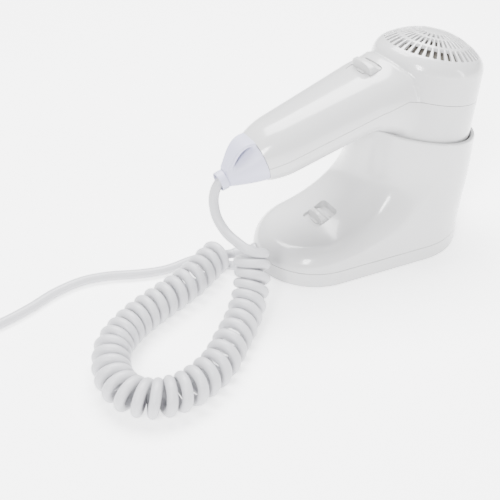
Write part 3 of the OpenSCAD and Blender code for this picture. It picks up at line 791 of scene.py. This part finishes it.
def knob_field(q, height, width, arch):
    """Thumb piece: upright face toward the toe, ramp toward the head, arched across."""
    x, y, z = q[:, 0], q[:, 1], q[:, 2]
    face = -(x + 4.5) + 0.1 * z
    ramp_dir = np.array([height - 1.3, 3.4])
    ramp_dir = ramp_dir / np.hypot(*ramp_dir)
    ramp = (x - 2.1) * ramp_dir[0] + (z - 1.3) * ramp_dir[1]
    crown = np.hypot(y, z - (height - arch)) - arch
    base = round_max(z - 1.3, crown, 0.5)
    d = soft_min(round_max(ramp, crown, 0.5), base, 1.6)
    d = round_max(d, face, 0.35)
    d = round_max(d, x - 4.6, 0.3)
    d = round_max(d, np.abs(y) - width / 2, 1.2)
    stem = np.maximum(np.maximum(np.abs(x) - 0.8, np.abs(y) - 1.1), np.maximum(z - 1, -z - 7))
    plate = round_max(round_max(np.abs(x) - 6.2, np.abs(y) - 4.0, 0.8), np.abs(z - 0.25) - 0.27, 0.15)
    return np.minimum(np.minimum(np.maximum(d, -z - 0.1), stem), plate)


def make_knob(name, frame_matrix, height, width, arch, shift):
    matrix = frame_matrix @ Matrix.Translation(shift)
    return field_piece(name, lambda q: knob_field(q, height, width, arch), matrix,
                       (-7, -12, -8), (7, 12, height + 1.5), 0.3)


holder_case = make_holder_shell()
handset_tray, handset_cover = make_handset_shells()
grille_panel = make_grille()
end_cap = make_end_cap()
collar = make_collar()
handset_thumb = make_knob("handset_thumb", HANDSET_SLIDER, 6.9, 21.0, 24.0, (2.5, 0, -1.2))
holder_thumb = make_knob("holder_thumb", HOLDER_SLIDER, 6.9, 18.6, 16.5, (0, 0, -0.7))


# ---------------------------------------------------------------- plug pieces, tie and reliefs
def plug_matrix():
    return Matrix.Translation(PLUG_AT) @ Matrix.Rotation(math.radians(-90), 4, "Y")


def relief_field(q, r0, r1, length, pitch, slit):
    """Tapered strain relief about z with soft ring slits."""
    r, z = np.hypot(q[:, 0], q[:, 1]), q[:, 2]
    cone = r - (r0 + (r1 - r0) * np.clip(z / length, 0, 1))
    body = round_max(round_max(cone, z - length, 0.3), -z, 0.6)
    band = (z - 3.2 + pitch / 2) % pitch - pitch / 2
    ring = np.maximum(np.abs(band) - slit / 2, (r0 + (r1 - r0) * z / length) - r - 1.2)
    ring = np.where((z > 1.6) & (z < length - 2.0), ring, 5.0)
    return round_max(body, -ring, 0.35)


def relief_piece(name, matrix, r0, r1, length, pitch, slit):
    r = max(r0, r1) + 1
    return field_piece(name, lambda q: relief_field(q, r0, r1, length, pitch, slit), matrix,
                       (-r, -r, -1), (r, r, length + 1), 0.4)


def plug_field(q):
    """Moulded two-pin plug body about z: a waisted grip, flat on two sides, with finger ridges."""
    x, y, z = q[:, 0], q[:, 1], q[:, 2] - 28
    wide = np.interp(z, [0, 5, 16, 20, 34], [9.0, 13.0, 16.4, 17.4, 17.4])
    thick = np.interp(z, [0, 6, 18, 34], [7.5, 10.5, 12.6, 12.6])
    d = ellipse_field(y, x, wide, thick + 2.5) * 0.9
    d = round_max(d, np.abs(x) - thick, 2.0)
    d = round_max(d, z - 34, 1.2)
    d = round_max(d, -z, 0.8)
    ridge = 0.35 * np.cos(2 * math.pi * (z - 12) / 2.6) * smooth01(5, 8, z) * (1 - smooth01(14, 17, z))
    return d + ridge * smooth01(9, 12, np.abs(y))


def make_plug():
    matrix = plug_matrix()
    body = field_piece("plug_grip", plug_field, matrix, (-14, -19, 26), (14, 19, 63), 0.6, 0.06)
    relief = relief_piece("plug_sleeve", matrix, 3.9, 6.0, 28, 5.0, 1.6)
    parts = []
    for y in (-9.5, 9.5):
        profile = [(2.4, 61.5), (2.4, 76.6)] + [(1.4 + math.cos(q), 79.6 - 1.0 + math.sin(q)) for q in
                                               np.linspace(0, 1.5, 8)]
        parts.append(drum("pin", profile, matrix @ Matrix.Translation((0, y, 0)), 64))
    pins = joined("plug_contacts", parts)
    shade_by(pins, [], 40)
    return relief, body, pins


def joined(name, obs):
    points, faces = [], []
    for ob in obs:
        start = len(points)
        points += [tuple(v.co / MM) for v in ob.data.vertices]
        faces += [tuple(start + i for i in f.vertices) for f in ob.data.polygons]
        bpy.data.objects.remove(ob)
    return mesh_object(name, points, faces)


def make_tie():
    """Strap round the winding: a rounded loop with a small buckle on its outside."""
    def field(q):
        y, z = q[:, 1] - (COIL_AT[1] - 30), q[:, 2] - 6.75
        half_y, half_z = 10.9, 6.6
        dy, dz = np.abs(y) - (half_y - 3.2), np.abs(z) - (half_z - 3.2)
        box = np.hypot(np.maximum(dy, 0), np.maximum(dz, 0)) - 3.2
        band = round_max(box - 0.05, -(box + 0.75), 0.1)
        band = round_max(band, np.abs(q[:, 0] - COIL_AT[0]) - 4, 0.25)
        buckle = round_max(np.abs(y + half_y + 0.6) - 1.0, np.abs(z - 0.5) - 2.6, 0.4)
        buckle = round_max(buckle, np.abs(q[:, 0] - COIL_AT[0]) - 4.8, 0.5)
        return np.minimum(band, buckle)
    x, y = COIL_AT[0], COIL_AT[1] - 30
    p, f = surface_net(field, (x - 6, y - 14, -1), (x + 6, y + 13, 15), 0.42)
    ob = mesh_object("coil_strap", p, f)
    shade_by(ob, [field], 40, 0.06)
    return ob


def gland_matrix(deg):
    a = math.radians(deg)
    at = (TOE_X + (TOE_R - 0.4) * math.cos(a), (TOE_R - 0.4) * math.sin(a), GLAND_Z)
    return Matrix.Translation(at) @ Matrix.Rotation(a, 4, "Z") @ Matrix.Rotation(math.radians(90), 4, "Y")


plug_sleeve, plug_grip, plug_contacts = make_plug()
coil_strap = make_tie()
lead_relief = relief_piece("lead_relief", gland_matrix(GLANDS[0]), 5.3, 3.9, 16.5, 4.0, 1.0)
curl_relief = relief_piece("curl_relief", gland_matrix(GLANDS[1]), 5.3, 3.9, 12.5, 4.0, 1.0)

# ---------------------------------------------------------------- materials
def node_material(name, build):
    m = bpy.data.materials.new(name)
    m.use_nodes = True
    t = m.node_tree
    t.nodes.clear()
    out = t.nodes.new("ShaderNodeOutputMaterial")
    shader = t.nodes.new("ShaderNodeBsdfPrincipled")
    t.links.new(shader.outputs["BSDF"], out.inputs["Surface"])
    coords = t.nodes.new("ShaderNodeTexCoord")
    build(t, shader, coords.outputs["Object"])
    return m


def noise(t, coords, scale, detail=3.0, rough=0.5):
    n = t.nodes.new("ShaderNodeTexNoise")
    n.inputs["Scale"].default_value = scale
    n.inputs["Detail"].default_value = detail
    n.inputs["Roughness"].default_value = rough
    t.links.new(coords, n.inputs["Vector"])
    return n.outputs["Fac"]


def spread(t, value, low, high, at=(0.3, 0.7)):
    r = t.nodes.new("ShaderNodeMapRange")
    r.inputs["From Min"].default_value, r.inputs["From Max"].default_value = at
    r.inputs["To Min"].default_value, r.inputs["To Max"].default_value = low, high
    t.links.new(value, r.inputs["Value"])
    return r.outputs["Result"]


def blended(t, value, a, b):
    ramp = t.nodes.new("ShaderNodeValToRGB")
    ramp.color_ramp.elements[0].position, ramp.color_ramp.elements[1].position = 0.3, 0.7
    ramp.color_ramp.elements[0].color = (*a, 1)
    ramp.color_ramp.elements[1].color = (*b, 1)
    t.links.new(value, ramp.inputs["Fac"])
    return ramp.outputs["Color"]


def bumped(t, shader, height, strength, distance):
    b = t.nodes.new("ShaderNodeBump")
    b.inputs["Strength"].default_value = strength
    b.inputs["Distance"].default_value = distance
    t.links.new(height, b.inputs["Height"])
    t.links.new(b.outputs["Normal"], shader.inputs["Normal"])


def plastic(name, a, b, rough, coat=0.0, grain=900.0, bump=0.03, depth=0.00005):
    """Moulded plastic: slow colour drift, roughness from handling, fine surface grain."""
    def build(t, shader, coords):
        t.links.new(blended(t, noise(t, coords, 14.0, 2.0), a, b), shader.inputs["Base Color"])
        t.links.new(spread(t, noise(t, coords, 45.0, 4.0), *rough), shader.inputs["Roughness"])
        shader.inputs["Coat Weight"].default_value = coat
        shader.inputs["Coat Roughness"].default_value = 0.06
        shader.inputs["IOR"].default_value = 1.5
        bumped(t, shader, noise(t, coords, grain, 2.0), bump, depth)
    return node_material(name, build)


def brushed(name, a, b, rough):
    def build(t, shader, coords):
        stretch = t.nodes.new("ShaderNodeMapping")
        stretch.inputs["Scale"].default_value = (1.0, 1.0, 30.0)
        t.links.new(coords, stretch.inputs["Vector"])
        f = noise(t, stretch.outputs["Vector"], 160.0, 4.0)
        t.links.new(blended(t, f, a, b), shader.inputs["Base Color"])
        t.links.new(spread(t, f, *rough), shader.inputs["Roughness"])
        shader.inputs["Metallic"].default_value = 1.0
        bumped(t, shader, f, 0.08, 0.00003)
    return node_material(name, build)


def woven(name, a, b, scale):
    """Fine mesh cloth for the lint screen."""
    def build(t, shader, coords):
        w = t.nodes.new("ShaderNodeTexWave")
        w.inputs["Scale"].default_value = scale
        t.links.new(coords, w.inputs["Vector"])
        v = t.nodes.new("ShaderNodeTexWave")
        v.bands_direction = "Y"
        v.inputs["Scale"].default_value = scale
        t.links.new(coords, v.inputs["Vector"])
        m = t.nodes.new("ShaderNodeMath")
        m.operation = "MAXIMUM"
        t.links.new(w.outputs["Fac"], m.inputs[0])
        t.links.new(v.outputs["Fac"], m.inputs[1])
        t.links.new(blended(t, m.outputs["Value"], a, b), shader.inputs["Base Color"])
        shader.inputs["Roughness"].default_value = 0.7
        bumped(t, shader, m.outputs["Value"], 0.4, 0.0002)
    return node_material(name, build)


def flaked(name, a, b):
    """Mica sheet: cloudy flakes with a dull sheen."""
    def build(t, shader, coords):
        v = t.nodes.new("ShaderNodeTexVoronoi")
        v.inputs["Scale"].default_value = 260.0
        t.links.new(coords, v.inputs["Vector"])
        t.links.new(blended(t, v.outputs["Distance"], a, b), shader.inputs["Base Color"])
        t.links.new(spread(t, v.outputs["Distance"], 0.35, 0.6), shader.inputs["Roughness"])
        bumped(t, shader, v.outputs["Distance"], 0.15, 0.0001)
    return node_material(name, build)


shell_white = plastic("shell_white", (0.50, 0.50, 0.503), (0.525, 0.525, 0.528), (0.17, 0.24),
                      coat=0.35, bump=0.02)
cap_lilac = plastic("cap_lilac", (0.465, 0.465, 0.60), (0.495, 0.495, 0.63), (0.32, 0.42),
                    grain=1500, bump=0.05)
slider_white = plastic("slider_white", (0.485, 0.485, 0.485), (0.51, 0.51, 0.51), (0.26, 0.34), bump=0.03)
cord_white = plastic("cord_white", (0.455, 0.455, 0.475), (0.485, 0.485, 0.505), (0.34, 0.44),
                     grain=1200, bump=0.06)
dark_plastic = plastic("dark_plastic", (0.028, 0.027, 0.027), (0.045, 0.043, 0.041), (0.4, 0.55), bump=0.1)
inner_white = plastic("inner_white", (0.66, 0.66, 0.64), (0.71, 0.71, 0.69), (0.45, 0.6), bump=0.08)
pad_rubber = plastic("pad_rubber", (0.07, 0.07, 0.072), (0.09, 0.09, 0.092), (0.7, 0.85), bump=0.2)
board_green = plastic("board_green", (0.03, 0.15, 0.06), (0.05, 0.19, 0.08), (0.3, 0.45), bump=0.1)
steel = brushed("steel", (0.50, 0.50, 0.52), (0.62, 0.62, 0.64), (0.25, 0.42))
nickel = brushed("nickel", (0.66, 0.65, 0.62), (0.75, 0.74, 0.71), (0.12, 0.24))
brass = brushed("brass", (0.60, 0.44, 0.16), (0.70, 0.53, 0.22), (0.22, 0.36))
mica = flaked("mica", (0.42, 0.34, 0.20), (0.56, 0.47, 0.30))
screen_mesh = woven("screen_mesh", (0.02, 0.018, 0.015), (0.10, 0.09, 0.075), 420.0)
MATERIALS = {"shell_white": shell_white, "plate_white": shell_white, "cap_lilac": cap_lilac,
             "slider_white": slider_white, "cord_white": cord_white, "dark_plastic": dark_plastic,
             "inner_white": inner_white, "steel": steel, "nickel": nickel, "brass": brass, "mica": mica,
             "board_green": board_green, "pad_rubber": pad_rubber, "screen_mesh": screen_mesh}

for part in frame["record"]["subparts"]:
    ob = bpy.data.objects.get(part["node"]) or frame["nodes"][part["node"]]
    ob.data.materials.clear()
    ob.data.materials.append(MATERIALS[part["material_slot"]])


def finished(ob, slot_name, body, *nodes):
    ob.data.materials.clear()
    ob.data.materials.append(MATERIALS[slot_name])
    if nodes:
        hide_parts(*nodes)
    if body:
        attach(ob, body)
    return ob


finished(holder_case, "shell_white", "holder", "holder_shell")
finished(handset_tray, "shell_white", "handset", "handset_lower")
finished(handset_cover, "shell_white", "handset", "handset_upper")
finished(grille_panel, "shell_white", "handset", "intake_grille")
finished(end_cap, "cap_lilac", "handset", "end_cap")
finished(collar, "cap_lilac", "handset", "cord_collar")
finished(handset_thumb, "slider_white", "handset_slider", "handset_knob")
finished(holder_thumb, "slider_white", "holder_slider", "holder_knob")
finished(lead_relief, "cord_white", "holder")
finished(curl_relief, "cord_white", "holder")
finished(plug_sleeve, "cord_white", "holder", "plug_relief")
finished(plug_grip, "cord_white", "holder", "plug_body")
finished(plug_contacts, "nickel", "holder", "plug_pins")
finished(coil_strap, "dark_plastic", "holder", "cord_tie")
finished(lead, "cord_white", "holder", "mains_lead", "stored_coil")
finished(curly, "cord_white", None, "hang_cord", "curly_cord", "curl_tail")
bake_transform(curly)

# ---------------------------------------------------------------- floor and light
def floor_material():
    def build(t, shader, coords):
        t.links.new(blended(t, noise(t, coords, 3.0, 2.0), (0.93, 0.93, 0.93), (0.945, 0.945, 0.945)),
                    shader.inputs["Base Color"])
        shader.inputs["Roughness"].default_value = 0.75
        shader.inputs["Specular IOR Level"].default_value = 0.2
        shader.inputs["Emission Color"].default_value = (1, 1, 1, 1)
        shader.inputs["Emission Strength"].default_value = 1.8
    return node_material("floor_white", build)


FLOOR_HALF = 12000.0
floor_corners = [(x * FLOOR_HALF, y * FLOOR_HALF, 0) for x, y in ((-1, -1), (1, -1), (1, 1), (-1, 1))]
floor = mesh_object("floor", floor_corners, [(0, 1, 2, 3)], False)
floor.data.materials.append(floor_material())


def panel(name, at, look, size, power):
    light = bpy.data.lights.new(name, "AREA")
    light.shape = "RECTANGLE"
    light.size, light.size_y = size
    light.energy = power
    ob = bpy.data.objects.new(name, light)
    bpy.context.scene.collection.objects.link(ob)
    ob.location = at
    ob.rotation_euler = (Vector(look) - Vector(at)).to_track_quat("-Z", "Y").to_euler()
    return ob


panel("key", (-1.05, -0.85, 0.9), (-0.12, 0, 0.05), (0.28, 0.7), 38.0)
panel("top", (0.1, 0.5, 1.45), (-0.12, 0, 0.05), (1.3, 0.9), 98.0)
panel("side", (0.85, -1.05, 0.42), (-0.05, 0, 0.08), (0.16, 0.8), 9.0)
world = bpy.data.worlds.new("soft_room")
world.use_nodes = True
bpy.context.scene.world = world
world.node_tree.nodes["Background"].inputs["Color"].default_value = (0.97, 0.98, 1.0, 1)
world.node_tree.nodes["Background"].inputs["Strength"].default_value = 0.7
